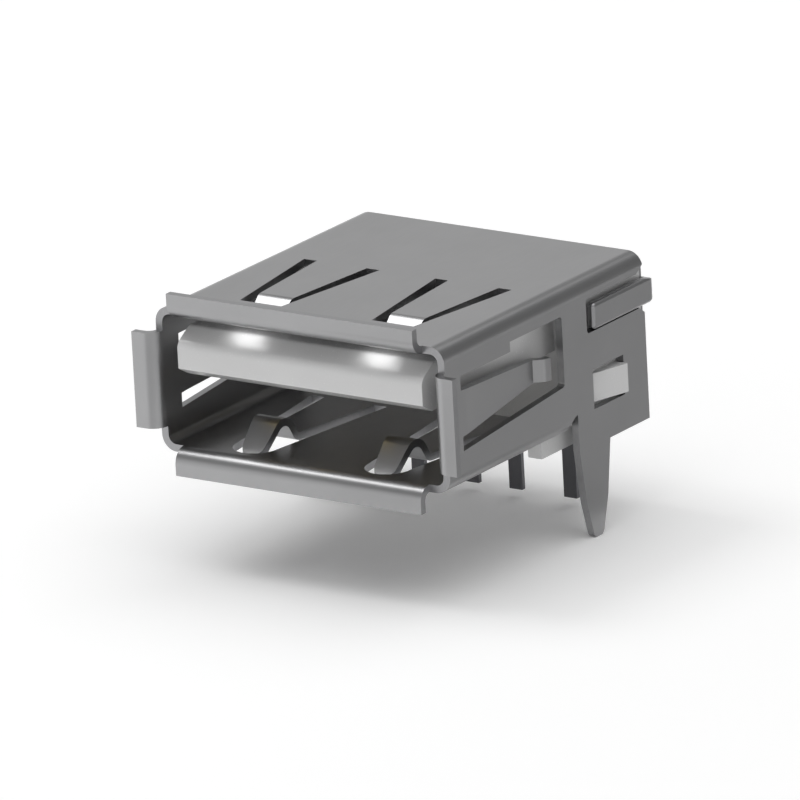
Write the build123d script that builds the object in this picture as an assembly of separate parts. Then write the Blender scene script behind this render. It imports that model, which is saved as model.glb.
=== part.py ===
"""A right-angle USB-A socket that is soldered to a board.

Millimetres. X runs across the socket, Y from the mouth to the rear, Z up from the board.
The origin is on the board's surface, midway between the two shield legs.
"""
from build123d import *
from math import cos, radians, tan
import os

# Shell: one stamped and folded sheet
sheet = 0.30                # thickness of the shell and of the rear cover
hair = 0.003                # runs and differences shorter than this don't count
tube_width = 13.10          # outside the side walls
tube_height = 5.72          # outside the roof and the floor
tube_bend = 0.64            # outside radius of the four long bends
roof_height = 6.58          # outer face of the roof above the board
mouth_to_legs = 9.70        # front edge of the tube to the middle of the legs
shell_length = 13.46        # front edge of the tube to its rear edge
floor_length = 8.20         # the floor ends in front of the legs
floor_relief = 0.43         # radius of the relief beside each leg

# Lips that turn outwards round the mouth
lip_reach = 0.73            # how far a lip stands out of the wall it is folded from
lip_bend = 0.30             # inside radius of that fold
lip_corner = 0.97           # room left at each corner between two lips

# Shield legs
leg_width = 2.10            # at the board
leg_shoulder = 0.08         # where the taper starts, above the board
leg_taper_width = 1.45      # width of the leg where its point begins
leg_taper_depth = 2.12      # depth of that place under the board
leg_tip_width = 0.60        # flat of the tip before it is rounded
leg_tip_round = 0.27
leg_depth = 3.59            # tip of the leg under the board

# Springs cut out of the roof and of the floor
spring_pitch = 6.00         # between the two springs of one wall
spring_rear = 7.30          # root of the springs behind the mouth
spring_root_width = 2.29
spring_slot_width = 3.46    # the window's width at the root
spring_neck = 2.91          # where the flat of a roof spring ends
spring_neck_width = 1.41
roof_window_front = 1.87
roof_window_front_width = 1.88
roof_spring_tip = 1.02      # where the tip of a roof spring ends behind the mouth
roof_spring_touch = 1.50    # where a roof spring presses on the plug
roof_spring_drop = 0.50     # how far that place lies under the flat of the spring
roof_spring_jog = 0.27      # drop of the short steep step behind the neck
roof_jog_run = 0.34         # length of that step
roof_tip_rise = 0.22        # how far the tip turns up again
roof_jog_radius = 0.25      # along the middle of the sheet
roof_tip_radius = 0.35
floor_window_front = 0.22
floor_window_round = 0.92   # radius of the window's round front end
floor_spring_level = 6.90   # from here forward a floor spring climbs a little
floor_spring_lift = 0.12    # up to the foot of its arch
floor_spring_foot = 2.81    # where the arch starts
floor_spring_top = 2.22     # where its two legs would meet
floor_spring_rise = 1.18    # height of that place over the floor
floor_spring_dip = 0.34     # how far its front leg runs down under the floor
floor_leg_end = 0.54        # where that leg would end if the tip were not cut round
floor_foot_radius = 0.28
floor_crown_radius = 0.51
floor_spring_tip = 0.66     # where its rounded tip ends
floor_spring_tip_width = 0.94
floor_spring_tip_round = 0.34
spring_lean_radius = 1.50   # where a floor or side spring starts to lean

# Springs and windows in the side walls
side_spring_root = 1.00     # front edge of the window, and root of the spring
side_spring_lean = 1.30     # where it starts to lean in
side_spring_middle = 2.815  # middle of the spring under the roof
side_spring_root_width = 1.81
side_spring_hump_width = 0.88
side_spring_hump = 6.55     # where the spring reaches furthest in
side_spring_inset = 0.49    # how far it reaches in
side_spring_level = 6.865   # from here its tip runs nearly along the wall again
side_level_inset = 0.12
side_spring_tip = 7.12
side_tip_inset = 0.05
side_tip_radius = 0.18
side_window_top = 1.36      # depths under the roof
side_window_step_top = 0.97
side_window_step = 4.36     # where the upper edge steps up
side_window_rear = 7.86
side_window_low_front = 4.28
side_window_low_rear = 3.73
side_window_round = 0.15

# Latch windows, and notches for the cover's ears
latch_window_front = 9.77
latch_window_rear = 11.87
latch_window_top = 3.61
latch_window_bottom = 5.18
notch_front = 9.52
notch_top = 0.75
notch_bottom = 2.13
notch_round = 0.15
notch_lead = 0.48           # the notch opens upwards over this length at the rear edge
notch_lead_rise = 0.27
notch_low_lead = 0.34       # and downwards over this length
notch_lead_drop = 0.24

# Rear cover
cover_gap = 0.38            # between the cover and the rear edge of the shell
cover_inset = 0.55          # its flat ends this far inside the outside of a side wall
cover_top = 0.34            # its top edge, under the roof
cover_bottom = 0.35         # its lower edge, above the board
cover_corner = 0.60
ear_bend = 0.08             # inside radius of the fold of an ear
ear_stand_out = 0.10        # an ear stands this much outside the side wall
ear_gap = 0.38              # between the front of an ear and the notch
ear_top_gap = 0.30
ear_bottom_gap = 0.03
ear_fall = 0.17             # drop of the ear's upper edge at the rear of its fold
ear_soft = 0.18             # radius of an ear's outer edges

# Housing: one moulding with the tongue
tongue_side_gap = 0.70      # between the tongue and the inside of each side wall
tongue_thick = 1.84
tongue_top = 0.86           # under the outer face of the roof
tongue_front = -0.10        # front face, behind the mouth
tongue_slope_run = 0.85     # length of the sloping top behind the front face
tongue_face_top = 0.50      # drop of that slope
tongue_under_run = 0.60     # length of the bevel under the front face
tongue_under_rise = 0.35
tongue_round = 0.40
housing_play = 0.08         # between the housing and the inside of the shell
block_front = 8.75          # front face of the block that closes the tube
block_play = 0.08           # between the block and the rear cover
base_inset = 0.85           # the base under the floor is this much narrower on each side than the tube
base_front = 8.30
rail_front = 7.34           # the base reaches forward in two rails
rail_width = 0.63
base_play = 0.04            # between the rails and the floor of the tube
barb_front = 9.90
barb_rear = 11.81
barb_flat = 0.12            # flat along its rear end
barb_top = 3.90             # depths under the roof
barb_bottom = 5.02
barb_proud = 0.22           # how far its rear end stands out of the side wall

# Contacts
contact_sheet = 0.21
contact_width = 1.00
tail_width = 0.60
contact_places = (("contact_vbus", -3.50), ("contact_data_minus", -1.00),
                  ("contact_data_plus", 1.00), ("contact_ground", 3.50))
contact_bury = 1.54         # upper face of a contact under the top of the tongue
contact_play = 0.03         # between a contact and the sides of its slot
groove_play = 0.06
groove_front = 0.75         # front end of the groove, behind the mouth
groove_depth = 0.85         # free height over the sprung part of a contact
groove_step = 5.40          # from here back the contact lies against the groove
contact_tip = 1.00
contact_touch = 2.60        # where the contact presses on the plug
contact_bow = 0.42          # how far it stands out under the tongue there
contact_tip_lift = 0.50     # the tip stands this much above that place
contact_bend = 0.25
contact_touch_radius = 0.90
contact_root_radius = 1.50
narrowing_run = 0.20
tail_inset = 1.13           # front face of the tails, in front of the tube's rear edge
narrowing_lead = 0.93       # a contact is as narrow as its tail from this far in front of the tail
tail_tip = 3.29             # depth under the board
channel_width = 0.90

roof_inside = roof_height - sheet
floor_outside = roof_height - tube_height
half_width = tube_width / 2
middle_line = sheet / 2     # a folded path follows the middle of the sheet
cover_half_width = half_width - cover_inset
block_rear = shell_length + cover_gap - block_play
tail_front = shell_length - tail_inset
narrowing = tail_front - narrowing_lead


def behind_mouth(distance):
    """Y of a place this far behind the front edge of the tube."""
    return distance - mouth_to_legs


def under_roof(depth):
    """Z of a place this far under the roof's outer face."""
    return roof_height - depth


def run_back(outline, front, rear):
    """Extrude an X-Z outline from one distance behind the mouth to another."""
    return extrude(Plane.XZ.offset(-behind_mouth(front)) * outline, amount=front - rear)


def run_across(outline, half):
    """Extrude a Y-Z outline to both sides of the middle."""
    return extrude(Plane.YZ * outline, amount=half, both=True)


def run_up(outline, low, high):
    """Extrude an X-Y outline between two heights."""
    return extrude(Pos(0, 0, low) * outline, amount=high - low)


def box_between(low, high):
    """A box between two corners."""
    size = [b - a for a, b in zip(low, high)]
    middle = [(a + b) / 2 for a, b in zip(low, high)]
    return Pos(*middle) * Box(*size)


def closed(*points):
    """A face from the corner points of its outline."""
    return make_face(Polyline(*points, close=True))


def folded_line(points, radii):
    """Straight runs through the points, with a round fold of its own radius at each corner."""
    places = [Vector(*point) for point in points]
    edges, last = [], places[0]
    for before, corner, after, radius in zip(places, places[1:], places[2:], radii):
        run_in, run_out = (corner - before).normalized(), (after - corner).normalized()
        half_turn = radians(run_in.get_angle(run_out)) / 2
        start = corner - run_in * radius * tan(half_turn)
        end = corner + run_out * radius * tan(half_turn)
        inward = (run_out - run_in).normalized() * radius * (1 / cos(half_turn) - 1)
        if (start - last).length > hair:
            edges.append(Edge.make_line(last, start))
        edges.append(Edge.make_three_point_arc(start, corner + inward, end))
        last = end
    return Wire(edges + [Edge.make_line(last, places[-1])])


def bent_strip(points, radii, width, across, thick=sheet, soft=0):
    """A strip of sheet that follows a folded line, with its width along one direction.

    Its two edges outside the folds may be rounded.
    """
    path = folded_line(points, radii)
    start = Plane(origin=path @ 0, x_dir=across, z_dir=path % 0)
    section = Rectangle(width, thick)
    if soft:
        section = fillet(section.vertices().group_by(Axis.Y)[0], soft)
    return sweep(start * section, path=path)


def both_sides(solid):
    """The solid and its mirror image across the middle."""
    return [solid, mirror(solid, about=Plane.YZ)]


def tube_section():
    """Closed ring of the tube in front of the legs."""
    outer = RectangleRounded(tube_width, tube_height, tube_bend)
    inner = RectangleRounded(tube_width - 2 * sheet, tube_height - 2 * sheet, tube_bend - sheet)
    return Pos(0, roof_height - tube_height / 2) * (outer - inner)


def arch_section():
    """Roof and side walls, which run down to the tips of the legs."""
    tall = roof_height + leg_depth
    outer = Pos(0, roof_height - tall / 2) * Rectangle(tube_width, tall)
    inner = Pos(0, roof_inside - tall / 2) * Rectangle(tube_width - 2 * sheet, tall)
    outer = fillet(outer.vertices().sort_by(Axis.Y)[-2:], tube_bend)
    inner = fillet(inner.vertices().sort_by(Axis.Y)[-2:], tube_bend - sheet)
    return outer - inner


def leg_outline():
    """One shield leg from its shoulder to the rounded tip."""
    half, taper, tip = leg_width / 2, leg_taper_width / 2, leg_tip_width / 2
    leg = closed((-half, leg_shoulder), (-taper, -leg_taper_depth), (-tip, -leg_depth),
                 (tip, -leg_depth), (taper, -leg_taper_depth), (half, leg_shoulder))
    return fillet(leg.vertices().sort_by(Axis.Y)[:2], leg_tip_round)


def wall_outline():
    """Side wall behind the floor, down to the board, with its leg."""
    half, rear = leg_width / 2, behind_mouth(shell_length)
    wall = closed((-half, roof_height), (rear, roof_height), (rear, 0), (half, 0),
                  (half, leg_shoulder), (-half, leg_shoulder))
    return wall + leg_outline()


def floor_relief_outline():
    """The floor stops short of the legs, with a round relief up each long bend."""
    leg_front = -leg_width / 2
    low = floor_outside - sheet
    centre_height = floor_outside + tube_bend - floor_relief
    below = Pos((leg_front + behind_mouth(floor_length)) / 2, (low + centre_height) / 2)
    below *= Rectangle(leg_front - behind_mouth(floor_length), centre_height - low)
    disc = Pos(leg_front, centre_height) * Circle(floor_relief)
    keep = Pos(leg_front - floor_relief, centre_height) * Rectangle(2 * floor_relief, 2 * floor_relief)
    return below + (disc & keep)


def roof_window(centre):
    """Window in the roof round one spring."""
    front, rear = behind_mouth(roof_window_front), behind_mouth(spring_rear)
    near, far = roof_window_front_width / 2, spring_slot_width / 2
    return closed((centre - near, front), (centre + near, front), (centre + far, rear),
                  (centre - far, rear))


def floor_window(centre):
    """Window in the floor round one spring, with a round front end."""
    rear = behind_mouth(spring_rear)
    round_y = behind_mouth(floor_window_front + floor_window_round)
    near, far = floor_window_round, spring_slot_width / 2
    sides = closed((centre - near, round_y), (centre + near, round_y), (centre + far, rear),
                   (centre - far, rear))
    return sides + Pos(centre, round_y) * Circle(floor_window_round)


def side_window():
    """Window in the side wall round its spring, with a raised rear part."""
    front, step, rear = [behind_mouth(d) for d in (side_spring_root, side_window_step, side_window_rear)]
    face = closed((front, under_roof(side_window_top)), (step, under_roof(side_window_top)),
                  (step, under_roof(side_window_step_top)), (rear, under_roof(side_window_step_top)),
                  (rear, under_roof(side_window_low_rear)), (front, under_roof(side_window_low_front)))
    return fillet(face.vertices().group_by(Axis.X)[-1], side_window_round)


def latch_window():
    """Window that takes the housing's barb."""
    front, rear = behind_mouth(latch_window_front), behind_mouth(latch_window_rear)
    return closed((front, under_roof(latch_window_top)), (rear, under_roof(latch_window_top)),
                  (rear, under_roof(latch_window_bottom)), (front, under_roof(latch_window_bottom)))


def ear_notch():
    """Notch in the rear edge of the side wall, widened at its mouth."""
    front, rear = behind_mouth(notch_front), behind_mouth(shell_length)
    lead = rear - notch_lead
    low_lead = rear - notch_low_lead
    top, low = under_roof(notch_top), under_roof(notch_bottom)
    face = closed((front, top), (lead, top), (rear, top + notch_lead_rise), (rear + sheet, top),
                  (rear + sheet, low), (rear, low - notch_lead_drop), (low_lead, low), (front, low))
    return fillet(face.vertices().group_by(Axis.X)[0], notch_round)


def top_lip():
    """Lip folded up from the front edge of the roof."""
    edge, mid, bend = behind_mouth(0), under_roof(middle_line), lip_bend + middle_line
    points = ((0, edge, mid), (0, edge - bend, mid), (0, edge - bend, roof_height + lip_reach))
    return bent_strip(points, [bend], tube_width - 2 * lip_corner, (1, 0, 0))


def bottom_lip():
    """Lip folded down from the front edge of the floor."""
    edge, mid, bend = behind_mouth(0), floor_outside + middle_line, lip_bend + middle_line
    points = ((0, edge, mid), (0, edge - bend, mid), (0, edge - bend, floor_outside - lip_reach))
    return bent_strip(points, [bend], tube_width - 2 * lip_corner, (1, 0, 0))


def side_lip():
    """Lip folded outwards from the front edge of a side wall."""
    edge, mid, bend = behind_mouth(0), half_width - middle_line, lip_bend + middle_line
    level = roof_height - tube_height / 2
    points = ((mid, edge, level), (mid, edge - bend, level), (half_width + lip_reach, edge - bend, level))
    return bent_strip(points, [bend], tube_height - 2 * lip_corner, (0, 0, 1))


def tapered_plan(stations, centre=0):
    """Outline of a strip from pairs of distance behind the mouth and width."""
    right = [(centre + width / 2, behind_mouth(place)) for place, width in stations]
    left = [(centre - width / 2, behind_mouth(place)) for place, width in reversed(stations)]
    return closed(*right, *left)


def roof_spring(centre):
    """Roof spring: flat, a short steep step, a gentle slope, and a tip turned up."""
    mid = under_roof(middle_line)
    jog, touch = mid - roof_spring_jog, mid - roof_spring_drop
    places = ((spring_rear, mid), (spring_neck, mid), (spring_neck - roof_jog_run, jog),
              (roof_spring_touch, touch), (roof_spring_tip, touch + roof_tip_rise))
    points = [(centre, behind_mouth(place), height) for place, height in places]
    radii = (roof_jog_radius, roof_jog_radius, roof_tip_radius)
    strip = bent_strip(points, radii, spring_root_width, (1, 0, 0))
    taper = (spring_root_width - spring_neck_width) / (spring_rear - spring_neck)
    tip_width = spring_root_width - taper * (spring_rear - roof_spring_tip)
    plan = tapered_plan(((spring_rear, spring_root_width), (0, tip_width)), centre)
    return strip & run_up(plan, under_roof(2 * tongue_thick), roof_height + sheet)


def floor_spring(centre):
    """Floor spring: nearly flat, then a round arch whose front leg dips back into the window."""
    mid = floor_outside + middle_line
    places = ((spring_rear, mid), (floor_spring_level, mid), (floor_spring_foot, mid + floor_spring_lift),
              (floor_spring_top, mid + floor_spring_rise), (floor_leg_end, mid - floor_spring_dip))
    points = [(centre, behind_mouth(place), height) for place, height in places]
    radii = (spring_lean_radius, floor_foot_radius, floor_crown_radius)
    strip = bent_strip(points, radii, spring_root_width, (1, 0, 0))
    ends = ((spring_rear, spring_root_width), (floor_spring_tip, floor_spring_tip_width))
    plan = tapered_plan(ends, centre)
    plan = fillet(plan.vertices().sort_by(Axis.Y)[:2], floor_spring_tip_round)
    return strip & run_up(plan, floor_outside - 2 * sheet, roof_height)


def side_spring():
    """Side spring: leans in from its root to a hump, then the tip turns back out."""
    mid = half_width - middle_line
    height = under_roof(side_spring_middle)
    places = ((0, side_spring_root), (0, side_spring_lean), (side_spring_inset, side_spring_hump),
              (side_level_inset, side_spring_level), (side_tip_inset, side_spring_tip))
    points = [(mid - inset, behind_mouth(place), height) for inset, place in places]
    radii = (spring_lean_radius, side_tip_radius, side_tip_radius)
    strip = bent_strip(points, radii, side_spring_root_width, (0, 0, 1))
    root, tip = side_spring_root_width / 2, side_spring_hump_width / 2
    front, rear = behind_mouth(side_spring_root), behind_mouth(side_spring_hump)
    end = behind_mouth(side_spring_tip + sheet)
    plan = closed((front, height + root), (rear, height + tip), (end, height + tip),
                  (end, height - tip), (rear, height - tip), (front, height - root))
    return strip & run_across(plan, tube_width)


def make_shell():
    """The stamped shell with its lips, springs, windows and legs."""
    leg_front = leg_width / 2
    ring = run_back(tube_section(), 0, mouth_to_legs - leg_front)
    ring -= run_across(floor_relief_outline(), tube_width)
    walls = run_back(arch_section(), mouth_to_legs - leg_front, shell_length)
    walls &= run_across(wall_outline(), tube_width)
    shell = ring + walls
    places = (-spring_pitch / 2, spring_pitch / 2)
    for place in places:
        shell -= run_up(roof_window(place), roof_inside - sheet, roof_height + sheet)
        shell -= run_up(floor_window(place), floor_outside - sheet, floor_outside + 2 * sheet)
    for opening in (side_window(), latch_window(), ear_notch()):
        shell -= run_across(opening, tube_width)
    shell = shell + [top_lip(), bottom_lip()] + both_sides(side_lip())
    shell = shell + [roof_spring(place) for place in places]
    shell = shell + [floor_spring(place) for place in places]
    return shell + both_sides(side_spring())


def make_cover():
    """Rear cover: a plate with two ears folded forward into the notches."""
    front = behind_mouth(shell_length) + cover_gap
    mid = front + middle_line
    ear_top, ear_low = under_roof(notch_top + ear_top_gap), under_roof(notch_bottom - ear_bottom_gap)
    ear_x = half_width + ear_stand_out - middle_line
    bend = ear_bend + middle_line
    plate = closed((-cover_half_width, cover_bottom), (cover_half_width, cover_bottom),
                   (cover_half_width, under_roof(cover_top)), (-cover_half_width, under_roof(cover_top)))
    plate = fillet(plate.vertices(), cover_corner)
    plate = extrude(Plane.XZ.offset(-front) * plate, amount=-sheet)
    level = (ear_top + ear_low) / 2
    ear_front = behind_mouth(notch_front + ear_gap)
    points = ((cover_half_width - bend, mid, level), (ear_x, mid, level), (ear_x, ear_front, level))
    ear = bent_strip(points, [bend], ear_top - ear_low, (0, 0, 1), soft=ear_soft)
    front_edges = ear.edges().filter_by(Axis.Z).group_by(Axis.Y)[0]
    ear = fillet(front_edges.sort_by(Axis.X)[-1], ear_soft)
    fall = closed((behind_mouth(shell_length), ear_top), (front + sheet + hair, ear_top + hair),
                  (front + sheet + hair, ear_top - ear_fall))
    return plate + both_sides(ear - run_across(fall, tube_width))


def tongue_outline():
    """Side view of the tongue, back into the block."""
    front, rear = behind_mouth(tongue_front), behind_mouth(block_front + sheet)
    top, low = under_roof(tongue_top), under_roof(tongue_top + tongue_thick)
    face_top, face_low = top - tongue_face_top, low + tongue_under_rise
    slope_end = front + tongue_slope_run
    face = closed((front, face_low), (front, face_top), (slope_end, top), (rear, top),
                  (rear, low), (front + tongue_under_run, low))
    soft = [v for v in face.vertices() if v.Y > face_top - hair and v.X < slope_end + hair]
    return fillet(soft, tongue_round)


def barb():
    """Ramp on the side of the housing that snaps into the latch window."""
    inner = half_width - 2 * sheet - housing_play
    outer = half_width + barb_proud
    front, rear = behind_mouth(barb_front), behind_mouth(barb_rear)
    wedge = closed((inner, front), (half_width - sheet, front), (outer, rear - barb_flat),
                   (outer, rear), (inner, rear))
    return run_up(wedge, under_roof(barb_bottom), under_roof(barb_top))


def contact_slot(centre):
    """Groove under the tongue, slot through the block and channel for the tail."""
    contact_top = under_roof(tongue_top + contact_bury)
    contact_low = contact_top - contact_sheet
    under = under_roof(tongue_top + tongue_thick) - sheet
    half = contact_width / 2 + groove_play
    snug = contact_width / 2 + contact_play
    channel = channel_width / 2
    corner = behind_mouth(tail_front)
    rear = behind_mouth(block_rear + sheet)
    slot = box_between((centre - half, behind_mouth(groove_front), under),
                       (centre + half, behind_mouth(groove_step), contact_low + groove_depth))
    slot += box_between((centre - half, behind_mouth(groove_step) - sheet, under),
                        (centre + half, behind_mouth(block_front), contact_top))
    slot += box_between((centre - snug, behind_mouth(block_front) - sheet, contact_low - contact_play),
                        (centre + snug, behind_mouth(narrowing) + contact_play, contact_top))
    slot += box_between((centre - channel, behind_mouth(narrowing), contact_low - contact_play),
                        (centre + channel, rear, contact_top))
    slot += box_between((centre - channel, corner, -sheet), (centre + channel, rear, contact_top))
    low = contact_low - contact_play
    relief = closed((corner - contact_bend, low), (corner, low - contact_bend), (corner + sheet, low))
    return slot + Pos(centre, 0, 0) * run_across(relief, channel)


def make_housing():
    """The moulding: tongue, block, base with rails, and barbs."""
    half_block = half_width - sheet - housing_play
    block_top = roof_inside - housing_play
    base_top = floor_outside - base_play
    half_base = half_width - base_inset
    housing = run_across(tongue_outline(), half_width - sheet - tongue_side_gap)
    section = Rectangle(2 * half_block, block_top - floor_outside)
    section = fillet(section.vertices(), tube_bend - sheet)
    section = Pos(0, (block_top + floor_outside) / 2) * section
    housing += run_back(section, block_front, block_rear)
    housing += box_between((-half_base, behind_mouth(base_front), 0),
                           (half_base, behind_mouth(block_rear), base_top))
    housing += box_between((-half_base, behind_mouth(block_front), 0),
                           (half_base, behind_mouth(block_rear), floor_outside + tube_bend))
    rail = box_between((half_base - rail_width, behind_mouth(rail_front), 0),
                       (half_base, behind_mouth(base_front + sheet), base_top))
    housing = housing + both_sides(rail) + both_sides(barb())
    for _, place in contact_places:
        housing -= contact_slot(place)
    return housing


def make_contact(centre):
    """One contact: sprung under the tongue, straight through the block, down to its tail."""
    mid = under_roof(tongue_top + contact_bury) - contact_sheet / 2
    under = under_roof(tongue_top + tongue_thick)
    touch = under - contact_bow
    tail = behind_mouth(tail_front) + contact_sheet / 2
    bend = contact_bend + contact_sheet / 2
    places = ((contact_tip, touch + contact_tip_lift), (contact_touch, touch), (groove_step, mid))
    points = [(centre, behind_mouth(place), height) for place, height in places]
    points += [(centre, tail, mid), (centre, tail, -tail_tip)]
    radii = (contact_touch_radius, contact_root_radius, bend)
    strip = bent_strip(points, radii, contact_width, (1, 0, 0), contact_sheet)
    wide, narrow = contact_width / 2, tail_width / 2
    step, end = behind_mouth(narrowing), behind_mouth(shell_length)
    front, shoulder = behind_mouth(contact_tip) - sheet, step - narrowing_run
    plan = closed((-wide, front), (wide, front), (wide, shoulder), (narrow, step), (narrow, end),
                  (-narrow, end), (-narrow, step), (-wide, shoulder))
    return strip & run_up(Pos(centre, 0) * plan, -tail_tip - sheet, roof_height)


os.makedirs("parts", exist_ok=True)
parts = {"shell": make_shell(), "rear_cover": make_cover(), "housing": make_housing()}
for name, place in contact_places:
    parts[name] = make_contact(place)
for name, solid in parts.items():
    solid.label = name
    export_step(solid, f"parts/{name}.step")
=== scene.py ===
"""A right-angle USB-A socket for a circuit board, dressed and lit as on a studio table.

Metres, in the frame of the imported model: X runs across the socket, Y from the mouth to the rear
and Z up from the board. The origin is on the board's surface, midway between the shield legs.
"""

import logging
from collections.abc import Mapping, Sequence
from dataclasses import dataclass
from enum import Enum
from math import cos, radians, sin
from typing import Any

import bmesh
import bpy
from mathutils import Matrix, Vector
from mathutils.bvhtree import BVHTree


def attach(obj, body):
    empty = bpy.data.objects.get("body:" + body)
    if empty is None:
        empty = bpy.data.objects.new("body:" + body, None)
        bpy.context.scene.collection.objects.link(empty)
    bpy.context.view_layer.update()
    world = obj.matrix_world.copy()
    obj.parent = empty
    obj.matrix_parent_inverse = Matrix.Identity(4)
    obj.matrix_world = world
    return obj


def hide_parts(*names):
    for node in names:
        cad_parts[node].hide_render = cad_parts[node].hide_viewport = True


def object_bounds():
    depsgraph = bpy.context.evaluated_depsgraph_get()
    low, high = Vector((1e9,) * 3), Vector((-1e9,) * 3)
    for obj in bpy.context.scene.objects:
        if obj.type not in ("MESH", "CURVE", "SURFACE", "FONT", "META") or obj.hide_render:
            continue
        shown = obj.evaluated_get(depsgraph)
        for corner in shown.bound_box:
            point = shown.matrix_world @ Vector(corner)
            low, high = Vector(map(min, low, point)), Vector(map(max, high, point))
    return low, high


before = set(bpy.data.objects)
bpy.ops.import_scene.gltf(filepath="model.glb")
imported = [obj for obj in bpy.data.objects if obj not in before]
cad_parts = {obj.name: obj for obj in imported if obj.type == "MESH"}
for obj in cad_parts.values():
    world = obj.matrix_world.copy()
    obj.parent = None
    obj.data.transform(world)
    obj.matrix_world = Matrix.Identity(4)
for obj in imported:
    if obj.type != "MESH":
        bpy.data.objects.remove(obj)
cad_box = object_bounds()

MM = 0.001
BODY = "root"
log = logging.getLogger("socket")

Pair = tuple[float, float]
Triple = tuple[float, float, float]
Colour = tuple[float, float, float, float]
Tree = bpy.types.NodeTree
Socket = bpy.types.NodeSocket
Sockets = bpy.types.bpy_prop_collection

EVEN: Triple = (1.0, 1.0, 1.0)      # a grain is as long along each axis
MIDDLE: Pair = (0.3, 0.7)           # nearly all of a noise lies in this part of its range
WHOLE: Pair = (0.0, 1.0)            # a share, from none to all
FINE, SLOW = 2.0, 3.0               # octaves in a fine pattern, and in a slow change
NOISE_FALLOFF = 0.55                # strength of each octave beside the one before
MIX_SHARE, MIX_FIRST, MIX_SECOND = 0, 6, 7      # inputs of a Mix node that mixes colours
MIX_RESULT = 2                                  # and its output
EDGE_STRIPS = 2                     # faces across a softened edge
SLIVER_MM = 0.0001                  # shorter edges are taken out
STALE_SHADING = ("custom_normal", "sharp_edge", "sharp_face")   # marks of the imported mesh


class Slot(Enum):
    """Names of the material slots, one for each piece; the pieces keep them, and their finishes are
    given to them directly.
    """

    SHELL = "shell_plate"
    COVER = "cover_plate"
    HOUSING = "housing_plastic"
    CONTACT = "contact_metal"


def linear(code: str) -> Colour:
    """Turn an sRGB hex value to linear colour.

    Args:
        code: The colour as "#RRGGBB".

    Returns:
        Red, green, blue and an alpha of one.
    """
    parts = [int(code[i:i + 2], 16) / 255 for i in (1, 3, 5)]
    red, green, blue = [p / 12.92 if p <= 0.04045 else ((p + 0.055) / 1.055) ** 2.4 for p in parts]
    return (red, green, blue, 1.0)


def add_node(tree: Tree, kind: str, inputs: Mapping[Any, Any] | None = None,
             **settings: Any) -> bpy.types.Node:
    """Add a node with its settings, values and links.

    Args:
        tree: The node tree that it joins.
        kind: Blender's name of the node type.
        inputs: A value or an output socket for each input, by its name or its number.
        settings: Properties of the node itself.

    Returns:
        The new node.
    """
    node = tree.nodes.new(kind)
    for name, value in settings.items():
        setattr(node, name, value)
    for name, value in (inputs or {}).items():
        if isinstance(value, Socket):
            tree.links.new(value, node.inputs[name])
        else:
            node.inputs[name].default_value = value
    return node


def ranged(value: Socket, given: Sequence[Any], wanted: Sequence[Any]) -> dict[str, Any]:
    """The inputs that map one range of values to another.

    Args:
        value: The socket that is read.
        given: The ends of the range that is read, as values or sockets.
        wanted: What those ends become, as values or sockets.

    Returns:
        A value or a socket for each input, by its name.
    """
    return {"Value": value, "From Min": given[0], "From Max": given[1],
            "To Min": wanted[0], "To Max": wanted[1]}


def blank_material(name: str) -> tuple[bpy.types.Material, Tree]:
    """Make a material with an empty tree.

    Args:
        name: The material's name.

    Returns:
        The material and its node tree.
    """
    material = bpy.data.materials.new(name)
    material.use_nodes = True
    material.node_tree.nodes.clear()
    return material, material.node_tree


def grain(tree: Tree, size_mm: float, stretch: Triple = EVEN, detail: float = FINE) -> Socket:
    """A noise on Object coordinates whose grains have a real size.

    Args:
        tree: The material's node tree.
        size_mm: The size of one grain in millimetres.
        stretch: How many times longer a grain is along each axis.
        detail: Octaves of finer noise in it.

    Returns:
        The noise's value socket, from 0 to 1.
    """
    place = add_node(tree, "ShaderNodeTexCoord").outputs["Object"]
    scale = tuple(1 / (size_mm * MM * length) for length in stretch)
    mapped = add_node(tree, "ShaderNodeMapping", {"Vector": place, "Scale": scale})
    noise = add_node(tree, "ShaderNodeTexNoise", {
        "Vector": mapped.outputs[0], "Scale": 1.0, "Detail": detail, "Roughness": NOISE_FALLOFF})
    return noise.outputs["Fac"]


def two_tone(tree: Tree, value: Socket, low: str, high: str, given: Pair = MIDDLE) -> Socket:
    """A colour that goes from one hex value to another as a pattern rises.

    Args:
        tree: The material's node tree.
        value: The pattern's value socket.
        low: Colour at the lower end of the range and under it.
        high: Colour at the upper end and over it.
        given: The ends of the range that is read.

    Returns:
        The colour's socket.
    """
    share = add_node(tree, "ShaderNodeMapRange", ranged(value, given, WHOLE)).outputs["Result"]
    mix = add_node(tree, "ShaderNodeMix", {
        MIX_SHARE: share, MIX_FIRST: linear(low), MIX_SECOND: linear(high)}, data_type="RGBA")
    return mix.outputs[MIX_RESULT]


def close_tree(tree: Tree, height: Socket, relief_mm: float, inputs: Mapping[str, Any]) -> None:
    """End a material's tree with one surface, whose relief follows a pattern.

    Args:
        tree: The material's node tree.
        height: The pattern's value socket.
        relief_mm: The depth of the relief in millimetres.
        inputs: The surface's other inputs, by name.
    """
    bump = add_node(tree, "ShaderNodeBump", {
        "Height": height, "Strength": 1.0, "Distance": relief_mm * MM})
    surface = add_node(tree, "ShaderNodeBsdfPrincipled", {**inputs, "Normal": bump.outputs[0]})
    add_node(tree, "ShaderNodeOutputMaterial", {"Surface": surface.outputs[0]})


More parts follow.
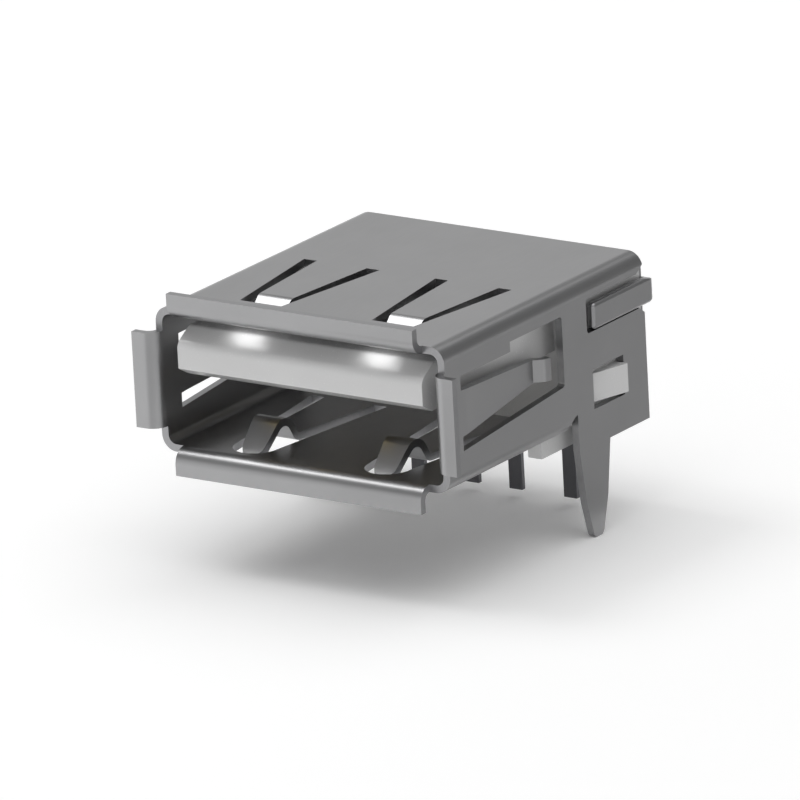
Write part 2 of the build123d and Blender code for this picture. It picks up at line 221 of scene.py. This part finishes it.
@dataclass(frozen=True)
class TinPlatedSteel:
    """Cold-rolled strip steel, plated with matt tin before stamping.

    The plating follows the rolled surface, so the eye sees an even mid grey with soft, slightly
    drawn-out reflections and faint lines along the strip.
    """

    name: str = "tin_plated_steel"
    light: str = "#A8A8A9"
    shade: str = "#A4A4A5"
    roughness: Pair = (0.30, 0.33)
    line_mm: float = 0.08           # really about 0.02 mm apart, drawn coarser so that they show
    line_stretch: Triple = (1.0, 14.0, 1.0)     # the strip was rolled along Y
    cloud_mm: float = 3.0           # slow change of the plating's thickness
    relief_mm: float = 0.00006

    def make(self) -> bpy.types.Material:
        """Build the material."""
        material, tree = blank_material(self.name)
        lines = grain(tree, self.line_mm, self.line_stretch)
        clouds = grain(tree, self.cloud_mm, detail=SLOW)
        duller = add_node(tree, "ShaderNodeMapRange", ranged(lines, MIDDLE, self.roughness))
        close_tree(tree, lines, self.relief_mm, {
            "Base Color": two_tone(tree, clouds, self.shade, self.light),
            "Roughness": duller.outputs["Result"], "Metallic": 1.0})
        return material


@dataclass(frozen=True)
class ShearedSteel:
    """The bare cut face of stamped strip steel.

    The punch drags fine lines through the thickness, and the face is duller than the plating.
    """

    name: str = "sheared_steel_edge"
    light: str = "#A6A6A7"
    shade: str = "#9C9C9E"
    roughness: Pair = (0.31, 0.37)
    drag_mm: float = 0.05           # really nearer 0.01 mm apart, drawn coarser so that they show
    drag_stretch: Triple = (1.0, 1.0, 5.0)
    relief_mm: float = 0.0003

    def make(self) -> bpy.types.Material:
        """Build the material."""
        material, tree = blank_material(self.name)
        drag = grain(tree, self.drag_mm, self.drag_stretch)
        duller = add_node(tree, "ShaderNodeMapRange", ranged(drag, MIDDLE, self.roughness))
        close_tree(tree, drag, self.relief_mm, {
            "Base Color": two_tone(tree, drag, self.shade, self.light),
            "Roughness": duller.outputs["Result"], "Metallic": 1.0})
        return material


@dataclass(frozen=True)
class MouldedPolyester:
    """Glass-filled polyester (PBT), injection moulded in a natural pale grey-white.

    The fine spark-eroded skin of the mould gives it a low even sheen, with no clear reflections.
    """

    name: str = "moulded_pbt"
    light: str = "#DCDCDC"
    shade: str = "#D7D7D7"
    roughness: Pair = (0.255, 0.275)
    skin_mm: float = 0.09           # really about 0.02 mm, drawn coarser so that it shows
    flow_mm: float = 2.5            # slow change where the melt met itself
    flow_stretch: Triple = (2.0, 1.0, 1.0)
    relief_mm: float = 0.00001
    ior: float = 1.55

    def make(self) -> bpy.types.Material:
        """Build the material."""
        material, tree = blank_material(self.name)
        skin = grain(tree, self.skin_mm)
        flow = grain(tree, self.flow_mm, self.flow_stretch, SLOW)
        duller = add_node(tree, "ShaderNodeMapRange", ranged(skin, MIDDLE, self.roughness))
        close_tree(tree, skin, self.relief_mm, {
            "Base Color": two_tone(tree, flow, self.shade, self.light),
            "Roughness": duller.outputs["Result"], "IOR": self.ior})
        return material


@dataclass(frozen=True)
class PlatedContactBronze:
    """Spring bronze, with hard gold over nickel under the tongue and matt tin on the solder tail.

    The eye sees a warm yellow strip in the mouth and a dark grey tail under the board.
    """

    name: str = "plated_contact_bronze"
    gold: str = "#CDBC92"
    tin: str = "#636366"
    roughness: Pair = (0.20, 0.34)          # of the gold and of the tin
    change_mm: Pair = (1.2, 1.7)            # inside the block, this far behind the legs
    line_mm: float = 0.06                   # rolling lines, drawn coarser so that they show
    line_stretch: Triple = (1.0, 10.0, 10.0)
    line_detail: float = 1.0
    relief_mm: float = 0.0002

    def make(self) -> bpy.types.Material:
        """Build the material."""
        material, tree = blank_material(self.name)
        place = add_node(tree, "ShaderNodeTexCoord").outputs["Object"]
        back = add_node(tree, "ShaderNodeSeparateXYZ", {0: place}).outputs["Y"]
        change = (self.change_mm[0] * MM, self.change_mm[1] * MM)
        lines = grain(tree, self.line_mm, self.line_stretch, self.line_detail)
        duller = add_node(tree, "ShaderNodeMapRange", ranged(back, change, self.roughness))
        close_tree(tree, lines, self.relief_mm, {
            "Base Color": two_tone(tree, back, self.gold, self.tin, change),
            "Roughness": duller.outputs["Result"], "Metallic": 1.0})
        return material


@dataclass(frozen=True)
class PaperSweep:
    """Matt white background paper: an even pale ground that keeps soft shadows."""

    name: str = "white_paper_sweep"
    colour: str = "#F4F4F4"
    seen: float = 1.1               # what the camera and gloss see, so that the ground is white

    def make(self) -> bpy.types.Material:
        """Build the material. The underside lets the camera through, for views from below."""
        material, tree = blank_material(self.name)
        path = add_node(tree, "ShaderNodeLightPath").outputs
        gloss = add_node(tree, "ShaderNodeMath", {
            0: path["Is Glossy Ray"], 1: path["Is Transmission Ray"]}, operation="ADD")
        shown = add_node(tree, "ShaderNodeMath", {
            0: path["Is Camera Ray"], 1: gloss.outputs[0]}, operation="ADD", use_clamp=True)
        colour = add_node(tree, "ShaderNodeMix", {
            MIX_SHARE: shown.outputs[0], MIX_FIRST: linear(self.colour),
            MIX_SECOND: (self.seen, self.seen, self.seen, 1.0)}, data_type="RGBA")
        paper = add_node(tree, "ShaderNodeBsdfDiffuse", {"Color": colour.outputs[MIX_RESULT]})
        clear = add_node(tree, "ShaderNodeBsdfTransparent")
        below = add_node(tree, "ShaderNodeNewGeometry").outputs["Backfacing"]
        both = add_node(tree, "ShaderNodeMixShader", {
            0: below, 1: paper.outputs[0], 2: clear.outputs[0]})
        add_node(tree, "ShaderNodeOutputMaterial", {"Surface": both.outputs[0]})
        return material


def add_object(name: str, data: bpy.types.ID) -> bpy.types.Object:
    """Put a mesh, a lamp or a camera into the scene.

    Args:
        name: The object's name.
        data: What the object holds.

    Returns:
        The new object.
    """
    thing = bpy.data.objects.new(name, data)
    bpy.context.scene.collection.objects.link(thing)
    return thing


def settled_mesh(thing: bpy.types.Object, name: str) -> bpy.types.Mesh:
    """What an object's modifiers make of it, as a plain mesh.

    Args:
        thing: The object with its live modifiers.
        name: The new mesh's name.

    Returns:
        The new mesh.
    """
    graph = bpy.context.evaluated_depsgraph_get()
    mesh = bpy.data.meshes.new_from_object(thing.evaluated_get(graph))
    mesh.name = name
    return mesh


def flat_areas(form: bmesh.types.BMesh, within: float) -> dict[int, float]:
    """How large the flat is that each face belongs to.

    Args:
        form: The mesh.
        within: Faces that meet at a smaller angle, in radians, lie in one flat.

    Returns:
        The area of the face's whole flat, by the face's number.
    """
    areas: dict[int, float] = {}
    for first in form.faces:
        if first.index in areas:
            continue
        members, waiting, found = [first], [first], {first.index}
        while waiting:
            face = waiting.pop()
            neighbours = [near for edge in face.edges for near in edge.link_faces]
            for near in neighbours:
                if near.index not in found and near.normal.angle(face.normal, 0.0) < within:
                    found.add(near.index)
                    members.append(near)
                    waiting.append(near)
        areas.update(dict.fromkeys(found, sum(face.calc_area() for face in members)))
    return areas


def level_shading(mesh: bpy.types.Mesh, within: float) -> None:
    """Shade flats as flat and bends as round: the widest flat at a point decides its direction.

    Args:
        mesh: The finished mesh, which gets custom normals.
        within: Faces that meet at a smaller angle, in radians, lie in one flat.
    """
    form = bmesh.new()
    form.from_mesh(mesh)
    areas = flat_areas(form, within)
    directions = []
    for point in form.verts:
        shares = [corner.face.normal * (areas[corner.face.index] ** 2 * corner.calc_angle())
                  for corner in point.link_loops]
        directions.append(sum(shares, Vector()).normalized())
    form.free()
    mesh.shade_smooth()
    mesh.normals_split_custom_set_from_vertices(directions)


def soften(piece: bpy.types.Object, radius_mm: float, over_deg: float) -> bpy.types.Modifier:
    """Give a piece narrow round edges, and narrower ones where they would meet.

    Args:
        piece: The object.
        radius_mm: Their radius in millimetres.
        over_deg: Edges with a larger angle, in degrees, are rounded.

    Returns:
        The live modifier.
    """
    bevel = piece.modifiers.new("softened_edges", "BEVEL")
    bevel.width, bevel.segments = radius_mm * MM, EDGE_STRIPS
    bevel.limit_method, bevel.angle_limit = "ANGLE", radians(over_deg)
    bevel.use_clamp_overlap = True
    return bevel


@dataclass
class RigidPiece:
    """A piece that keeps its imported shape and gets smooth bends, softened edges and a finish."""

    node: str
    title: str
    slot: Slot
    finish: bpy.types.Material
    edge_mm: float                  # radius of its edges, as wide as its smallest facets allow
    smooth_under_deg: float = 32.0  # faces that meet at a smaller angle shade as one
    flat_within_deg: float = 0.2    # faces that meet at a smaller angle become one
    merge_mm: float = 0.005         # nearer points become one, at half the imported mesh's fineness

    def merged(self) -> bmesh.types.BMesh:
        """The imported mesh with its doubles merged.

        Returns:
            The mesh's working form, which the caller frees.
        """
        form = bmesh.new()
        form.from_mesh(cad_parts[self.node].data)
        bmesh.ops.remove_doubles(form, verts=form.verts, dist=self.merge_mm * MM)
        bmesh.ops.dissolve_degenerate(form, dist=SLIVER_MM * MM, edges=form.edges)
        return form

    def mark(self, form: bmesh.types.BMesh) -> None:
        """Choose a finish for each face. Here all faces keep the first."""

    def finishes(self) -> list[bpy.types.Material]:
        """The materials in the order of the faces' numbers."""
        return [self.finish]

    def build(self) -> bpy.types.Object:
        """Make the dressed piece.

        Returns:
            The object, which rides on the body and stands for its node.
        """
        form = self.merged()
        self.mark(form)
        bmesh.ops.dissolve_limit(form, angle_limit=radians(self.flat_within_deg),
                                 verts=form.verts, edges=form.edges, delimit={"MATERIAL"})
        mesh = bpy.data.meshes.new(self.title)
        form.to_mesh(mesh)
        form.free()
        for name in STALE_SHADING:
            if name in mesh.attributes:
                mesh.attributes.remove(mesh.attributes[name])
        for material in self.finishes():
            mesh.materials.append(material)
        piece = add_object(self.title, mesh)
        bevel = soften(piece, self.edge_mm, self.smooth_under_deg)
        softened = settled_mesh(piece, self.title + "_softened")
        piece.modifiers.remove(bevel)
        piece.data = softened
        level_shading(softened, radians(self.flat_within_deg))
        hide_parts(self.node)
        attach(piece, BODY)
        return piece


@dataclass(kw_only=True)
class StampedSheet(RigidPiece):
    """A stamped and folded sheet, whose cut faces show the sheared metal."""

    cut_finish: bpy.types.Material
    sheet_mm: float = 0.30
    bend_slack: float = 1.12        # a bend is up to this many times as deep as the sheet
    skin_mm: float = 0.005          # the depth is measured from this far under the face

    def mark(self, form: bmesh.types.BMesh) -> None:
        """Find the cut faces: behind them lies more metal than one sheet.

        Args:
            form: The merged mesh, whose faces get finish 0 on the plating and 1 on a cut.
        """
        tree = BVHTree.FromBMesh(form)
        deepest = self.sheet_mm * MM * self.bend_slack
        for face in form.faces:
            start = face.calc_center_median() - face.normal * self.skin_mm * MM
            place, _, _, depth = tree.ray_cast(start, -face.normal)
            face.material_index = 0 if place is not None and depth < deepest else 1

    def finishes(self) -> list[bpy.types.Material]:
        """The plating, then the cut faces."""
        return [self.finish, self.cut_finish]


@dataclass
class ContactRow:
    """The four contacts: one folded strip, repeated at its places and narrowed to its tail."""

    finish: bpy.types.Material
    title: str = "contact_row"
    nodes: tuple[str, ...] = (
        "contact_vbus", "contact_data_minus", "contact_data_plus", "contact_ground")
    outer_mm: float = 3.50
    inner_mm: float = 1.00
    strip_mm: float = 1.00
    tail_mm: float = 0.60
    thick_mm: float = 0.21
    narrow_from_mm: float = 1.50
    narrow_to_mm: float = 1.70
    edge_mm: float = 0.015
    fold_facets: int = 8
    sharp_over_deg: float = 35.0    # faces that meet at a larger angle shade apart
    soften_over_deg: float = 50.0   # faces that meet at a larger angle get a round edge
    path_mm: tuple[Triple, ...] = (     # Y, Z and the radius of the fold there
        (-8.70, 3.96, 0.0), (-7.10, 3.46, 0.90), (-4.30, 4.075, 1.50), (2.735, 4.075, 0.355),
        (2.735, -3.29, 0.0))

    def centre_line(self) -> bpy.types.Object:
        """The strip's middle line as edges, with the radius of each fold on its points.

        Returns:
            The object that the node tree works on.
        """
        mesh = bpy.data.meshes.new("contact_centre_line")
        places = [(0.0, y * MM, z * MM) for y, z, _ in self.path_mm]
        mesh.from_pydata(places, [(i, i + 1) for i in range(len(places) - 1)], [])
        radius = mesh.attributes.new("fold_radius", "FLOAT", "POINT")
        radius.data.foreach_set("value", [r * MM for _, _, r in self.path_mm])
        return add_object("contact_centre_line", mesh)

    def sizes(self) -> dict[str, float]:
        """The tree's named inputs and their values in metres."""
        return {"Strip Width": self.strip_mm * MM, "Thickness": self.thick_mm * MM,
                "Tail Share": self.tail_mm / self.strip_mm, "Narrow From": self.narrow_from_mm * MM,
                "Narrow To": self.narrow_to_mm * MM, "Outer Place": self.outer_mm * MM,
                "Inner Place": self.inner_mm * MM}

    def tree(self) -> Tree:
        """Geometry Nodes that fold, narrow and repeat the strip.

        Returns:
            The node group.
        """
        tree = bpy.data.node_groups.new("contact_row", "GeometryNodeTree")
        face = tree.interface
        face.new_socket("Geometry", in_out="INPUT", socket_type="NodeSocketGeometry")
        face.new_socket("Geometry", in_out="OUTPUT", socket_type="NodeSocketGeometry")
        for name in self.sizes():
            face.new_socket(name, in_out="INPUT", socket_type="NodeSocketFloat")
        face.new_socket("Finish", in_out="INPUT", socket_type="NodeSocketMaterial")
        given = add_node(tree, "NodeGroupInput").outputs
        row = add_node(tree, "GeometryNodeInstanceOnPoints", {
            "Points": self.places(tree, given), "Instance": self.strip(tree, given)})
        real = add_node(tree, "GeometryNodeRealizeInstances", {"Geometry": row.outputs[0]})
        dressed = add_node(tree, "GeometryNodeSetMaterial", {
            "Geometry": real.outputs[0], "Material": given["Finish"]})
        add_node(tree, "NodeGroupOutput", {"Geometry": dressed.outputs[0]})
        return tree

    def strip(self, tree: Tree, given: Sockets) -> Socket:
        """One contact round the middle line, narrowed towards its tail.

        Args:
            tree: The node group.
            given: Outputs of the group's input node, by name.

        Returns:
            The strip's geometry socket.
        """
        line = add_node(tree, "GeometryNodeMeshToCurve", {"Mesh": given["Geometry"]})
        radius = add_node(tree, "GeometryNodeInputNamedAttribute", {"Name": "fold_radius"})
        folded = add_node(tree, "GeometryNodeFilletCurve", {
            "Curve": line.outputs[0], "Count": self.fold_facets, "Radius": radius.outputs[0]},
            mode="POLY")
        steady = add_node(tree, "GeometryNodeSetCurveNormal", {
            "Curve": folded.outputs[0], "Normal": (1.0, 0.0, 0.0)}, mode="FREE")
        section = add_node(tree, "GeometryNodeCurvePrimitiveQuadrilateral", {
            "Width": given["Strip Width"], "Height": given["Thickness"]})
        solid = add_node(tree, "GeometryNodeCurveToMesh", {
            "Curve": steady.outputs[0], "Profile Curve": section.outputs[0], "Fill Caps": True})
        position = add_node(tree, "GeometryNodeInputPosition").outputs[0]
        place = add_node(tree, "ShaderNodeSeparateXYZ", {0: position}).outputs
        narrowing = (given["Narrow From"], given["Narrow To"])
        share = add_node(tree, "ShaderNodeMapRange", ranged(
            place["Y"], narrowing, (1.0, given["Tail Share"])))
        across = add_node(tree, "ShaderNodeMath", {
            0: place["X"], 1: share.outputs["Result"]}, operation="MULTIPLY")
        moved = add_node(tree, "ShaderNodeCombineXYZ", {
            "X": across.outputs[0], "Y": place["Y"], "Z": place["Z"]})
        return add_node(tree, "GeometryNodeSetPosition", {
            "Geometry": solid.outputs[0], "Position": moved.outputs[0]}).outputs[0]

    def places(self, tree: Tree, given: Sockets) -> Socket:
        """Four points on a line across the socket, two at the inner and two at the outer place.

        Args:
            tree: The node group.
            given: Outputs of the group's input node, by name.

        Returns:
            The points' geometry socket.
        """
        known = {"index": add_node(tree, "GeometryNodeInputIndex").outputs[0],
                 "outer": given["Outer Place"], "inner": given["Inner Place"]}
        count = len(self.nodes)
        middle, inner_side = (count - 1) / 2, 0.5       # of the row, counted in contacts
        steps = (                       # result, operation, first and second value
            ("side", "SUBTRACT", "index", middle),
            ("apart", "ABSOLUTE", "side", 0.0),
            ("is_outer", "SUBTRACT", "apart", inner_side),
            ("pitch", "SUBTRACT", "outer", "inner"),
            ("further", "MULTIPLY", "is_outer", "pitch"),
            ("reach", "ADD", "inner", "further"),
            ("sign", "SIGN", "side", 0.0),
            ("across", "MULTIPLY", "sign", "reach"))
        for result, operation, first, second in steps:
            inputs = {0: known[first], 1: known.get(second, second)}
            known[result] = add_node(tree, "ShaderNodeMath", inputs, operation=operation).outputs[0]
        place = add_node(tree, "ShaderNodeCombineXYZ", {"X": known["across"]}).outputs[0]
        return add_node(tree, "GeometryNodePoints", {"Count": count, "Position": place}).outputs[0]

    def build(self) -> bpy.types.Object:
        """Make the row as one plain mesh.

        Returns:
            The object, which stands for the four contacts.
        """
        line, tree = self.centre_line(), self.tree()
        maker = line.modifiers.new("contact_row", "NODES")
        maker.node_group = tree
        sockets = {item.name: item.identifier for item in tree.interface.items_tree
                   if item.in_out == "INPUT"}
        for name, value in self.sizes().items():
            maker[sockets[name]] = value
        maker[sockets["Finish"]] = self.finish
        mesh = settled_mesh(line, self.title)
        bpy.data.objects.remove(line)
        mesh.shade_smooth()
        mesh.set_sharp_from_angle(angle=radians(self.sharp_over_deg))
        piece = add_object(self.title, mesh)
        soften(piece, self.edge_mm, self.soften_over_deg)
        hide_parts(*self.nodes)
        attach(piece, BODY)
        return piece


def hang(data: bpy.types.Light, place: Vector, back: Vector) -> bpy.types.Object:
    """Hang a lamp.

    Args:
        data: The lamp's own settings.
        place: Where it hangs, in metres.
        back: From what it lights to the lamp, one long.

    Returns:
        The lamp's object.
    """
    lamp = add_object(data.name, data)
    lamp.location = place
    lamp.rotation_euler = back.to_track_quat("Z", "Y").to_euler()
    return lamp


def lay(name: str, outline: Sequence[Pair], level: float,
        finish: bpy.types.Material) -> bpy.types.Object:
    """Lay a flat sheet of the studio on the ground.

    Args:
        name: The object's name.
        outline: X and Y of its corners, in metres.
        level: Its height, in metres.
        finish: Its material.

    Returns:
        The sheet's object.
    """
    mesh = bpy.data.meshes.new(name)
    mesh.from_pydata([(x, y, level) for x, y in outline], [], [tuple(range(len(outline)))])
    mesh.materials.append(finish)
    return add_object(name, mesh)


@dataclass(frozen=True)
class Softbox:
    """A square soft lamp that points at the socket."""

    name: str
    towards: Triple                 # from the socket to the lamp
    distance: float                 # metres
    size: float                     # metres
    power: float                    # watts
    centre_mm: Triple = (0.0, -3.0, 3.0)

    def build(self) -> None:
        """Hang the lamp."""
        data = bpy.data.lights.new(self.name, "AREA")
        data.shape, data.size, data.energy = "SQUARE", self.size, self.power
        back = Vector(self.towards).normalized()
        hang(data, Vector(self.centre_mm) * MM + back * self.distance, back)


@dataclass(frozen=True)
class SpringGlow:
    """The glow under the tip of a roof spring, on the tongue's slope."""

    name: str
    place_mm: Triple                                # middle of the glow, on the slope
    towards: Triple = (0.0, -0.507, 0.862)          # square to the slope
    lift_mm: float = 0.45
    long_mm: float = 1.40
    wide_mm: float = 0.30
    power: float = 5.3e-6                           # watts

    def build(self) -> None:
        """Hang the lamp between the spring's tip and the slope."""
        data = bpy.data.lights.new(self.name, "AREA")
        data.shape, data.size, data.size_y = "RECTANGLE", self.long_mm * MM, self.wide_mm * MM
        data.energy = self.power
        back = Vector(self.towards).normalized()
        lamp = hang(data, (Vector(self.place_mm) + back * self.lift_mm) * MM, back)
        lamp.visible_camera = False


@dataclass(frozen=True)
class PaintedShadeCard:
    """A grey card on the paper, seen by gloss alone: painted shade in the metal's reflections,
    which keeps a side from mirroring white.
    """

    name: str
    colour: str
    outline_mm: tuple[Pair, ...]    # X and Y of its corners
    lift_mm: float = 0.05

    def build(self) -> None:
        """Lay the card down."""
        material, tree = blank_material(self.name)
        paint = add_node(tree, "ShaderNodeBsdfDiffuse", {"Color": linear(self.colour)})
        add_node(tree, "ShaderNodeOutputMaterial", {"Surface": paint.outputs[0]})
        outline = [(x * MM, y * MM) for x, y in self.outline_mm]
        # hidden from camera, diffuse and shadow rays, so it only paints shade into reflections
        card = lay(self.name, outline, cad_box[0].z + self.lift_mm * MM, material)
        card.visible_camera = card.visible_diffuse = False
        card.visible_shadow = card.visible_transmission = False


@dataclass(frozen=True)
class Camera:
    """The long lens that the picture was taken with, found from edges of known size."""

    round_deg: float = 35.0059      # how far it stands to the right of the mouth's axis
    above_deg: float = 17.4292
    roll_deg: float = -3.0152
    aside_mm: float = 3.8054
    raise_mm: float = -2.7364
    distance_mm: float = 560.235
    aim_mm: Triple = (0.0, -9.70, 6.58)     # front edge of the roof
    lens_mm: float = 675.0
    sensor_mm: float = 36.0
    sight: Pair = (0.01, 20.0)      # nearest and furthest that it sees, in metres

    def build(self) -> None:
        """Set up the scene's camera."""
        turn, rise, roll = map(radians, (self.round_deg, self.above_deg, self.roll_deg))
        back = Vector((sin(turn) * cos(rise), -cos(turn) * cos(rise), sin(rise)))
        level = Vector((0.0, 0.0, 1.0)).cross(back).normalized()
        upright = back.cross(level)
        right = level * cos(roll) + upright * sin(roll)
        above = upright * cos(roll) - level * sin(roll)
        shift = right * self.aside_mm + above * self.raise_mm
        place = Vector(self.aim_mm) + shift + back * self.distance_mm
        data = bpy.data.cameras.new("studio_camera")
        data.lens, data.sensor_width, data.sensor_fit = self.lens_mm, self.sensor_mm, "HORIZONTAL"
        data.clip_start, data.clip_end = self.sight
        camera = add_object("studio_camera", data)
        turned = Matrix((right, above, back)).transposed()
        camera.matrix_world = Matrix.Translation(place * MM) @ turned.to_4x4()
        bpy.context.scene.camera = camera


@dataclass(frozen=True)
class Studio:
    """White paper under the legs, a pale low surround, a dim ceiling and soft lamps."""

    lamps: tuple[Softbox, ...] = (
        Softbox("overhead_softbox", (0.05, 0.05, 1.0), 0.40, 0.60, 1.20),
        Softbox("key_softbox", (-0.547, -0.07, 0.835), 0.30, 0.12, 0.14))
    glows: tuple[SpringGlow, ...] = (
        SpringGlow("spring_glow_left", (-2.75, -9.10, 5.62)),
        SpringGlow("spring_glow_right", (3.25, -9.10, 5.62)))
    # cards of painted shade: seen only in reflections, where they dim the white paper that the
    # walls and mouth would mirror
    cards: tuple[PaintedShadeCard, ...] = (
        PaintedShadeCard("painted_shade_card_behind", "#BEBEBE", (
            (8.0, -4.0), (90.0, -4.0), (90.0, 110.0), (8.0, 110.0))),
        PaintedShadeCard("painted_shade_card_in_front", "#DBDBDB", (
            (-8.0, -90.0), (90.0, -90.0), (90.0, -6.0), (12.0, -6.0), (12.0, -21.0),
            (-8.0, -21.0))))
    light_side: tuple[Pair, ...] = (        # brightness by the sine of the height
        (-1.0, 0.85), (0.0, 0.90), (0.30, 0.80), (0.50, 0.34), (0.75, 0.30), (1.0, 0.40))
    dim_side: tuple[Pair, ...] = (
        (-1.0, 0.85), (-0.1, 0.40), (0.10, 0.25), (0.55, 0.22), (0.80, 0.28), (1.0, 0.40))
    dim_towards: Triple = (0.57, 0.82, 0.0)
    dim_between: Pair = (0.34, 0.62)        # cosines from that direction, light to dim
    floor_size: float = 3.0                 # metres

    def floor(self) -> None:
        """Lay the paper at the tips of the legs."""
        half = self.floor_size / 2
        outline = ((-half, -half), (half, -half), (half, half), (-half, half))
        floor = lay("paper_floor", outline, cad_box[0].z, PaperSweep().make())

    def heights(self, tree: Tree, way: Socket, greys: tuple[Pair, ...]) -> Socket:
        """The room's grey by height.

        Args:
            tree: The world's node tree.
            way: The direction in which the room is seen.
            greys: Sine of the height and brightness, from the ground up.

        Returns:
            The colour's socket.
        """
        height = add_node(tree, "ShaderNodeSeparateXYZ", {0: way}).outputs["Z"]
        share = add_node(tree, "ShaderNodeMapRange", ranged(height, (-1.0, 1.0), WHOLE))
        ramp = add_node(tree, "ShaderNodeValToRGB", {0: share.outputs["Result"]})
        stops = ramp.color_ramp.elements
        while len(stops) < len(greys):
            stops.new(0.5)              # it gets its place below
        for stop, (place, grey) in zip(stops, greys):
            stop.position = (place + 1) / 2
            stop.color = (grey, grey, grey, 1.0)
        return ramp.outputs[0]

    def sky(self) -> None:
        """The room round the table: a grey that changes with the height, with one dimmer side."""
        world = bpy.data.worlds.new("studio_surround")
        world.use_nodes = True
        tree = world.node_tree
        tree.nodes.clear()
        way = add_node(tree, "ShaderNodeTexCoord").outputs["Generated"]
        towards = add_node(tree, "ShaderNodeVectorMath", {0: way, 1: self.dim_towards},
                           operation="DOT_PRODUCT")
        share = add_node(tree, "ShaderNodeMapRange", ranged(
            towards.outputs["Value"], self.dim_between, WHOLE))
        both = add_node(tree, "ShaderNodeMix", {
            MIX_SHARE: share.outputs["Result"],
            MIX_FIRST: self.heights(tree, way, self.light_side),
            MIX_SECOND: self.heights(tree, way, self.dim_side)}, data_type="RGBA")
        light = add_node(tree, "ShaderNodeBackground", {
            "Color": both.outputs[MIX_RESULT], "Strength": 1.0})
        add_node(tree, "ShaderNodeOutputWorld", {"Surface": light.outputs[0]})
        bpy.context.scene.world = world

    def build(self) -> None:
        """Set up floor, surround, lamps, the cards of painted shade in reflections, and camera."""
        self.floor()
        self.sky()
        for thing in (*self.lamps, *self.glows, *self.cards, Camera()):
            thing.build()
        bpy.context.scene.view_settings.view_transform = "Standard"


def main() -> None:
    """Build the pieces in order, then the studio round them."""
    logging.basicConfig(level=logging.INFO, format="%(name)s: %(message)s")
    plating, cut = TinPlatedSteel().make(), ShearedSteel().make()
    plastic, bronze = MouldedPolyester().make(), PlatedContactBronze().make()
    pieces = (
        StampedSheet("shell", "shell_sheet", Slot.SHELL, plating, edge_mm=0.005, cut_finish=cut),
        StampedSheet("rear_cover", "cover_sheet", Slot.COVER, plating, edge_mm=0.003,
                     cut_finish=cut),
        RigidPiece("housing", "housing_moulding", Slot.HOUSING, plastic, edge_mm=0.014),
        ContactRow(bronze))
    for piece in pieces:
        made = piece.build()
        log.info("%s: %d faces", made.name, len(made.data.polygons))
    Studio().build()


if __name__ == "__main__":
    main()
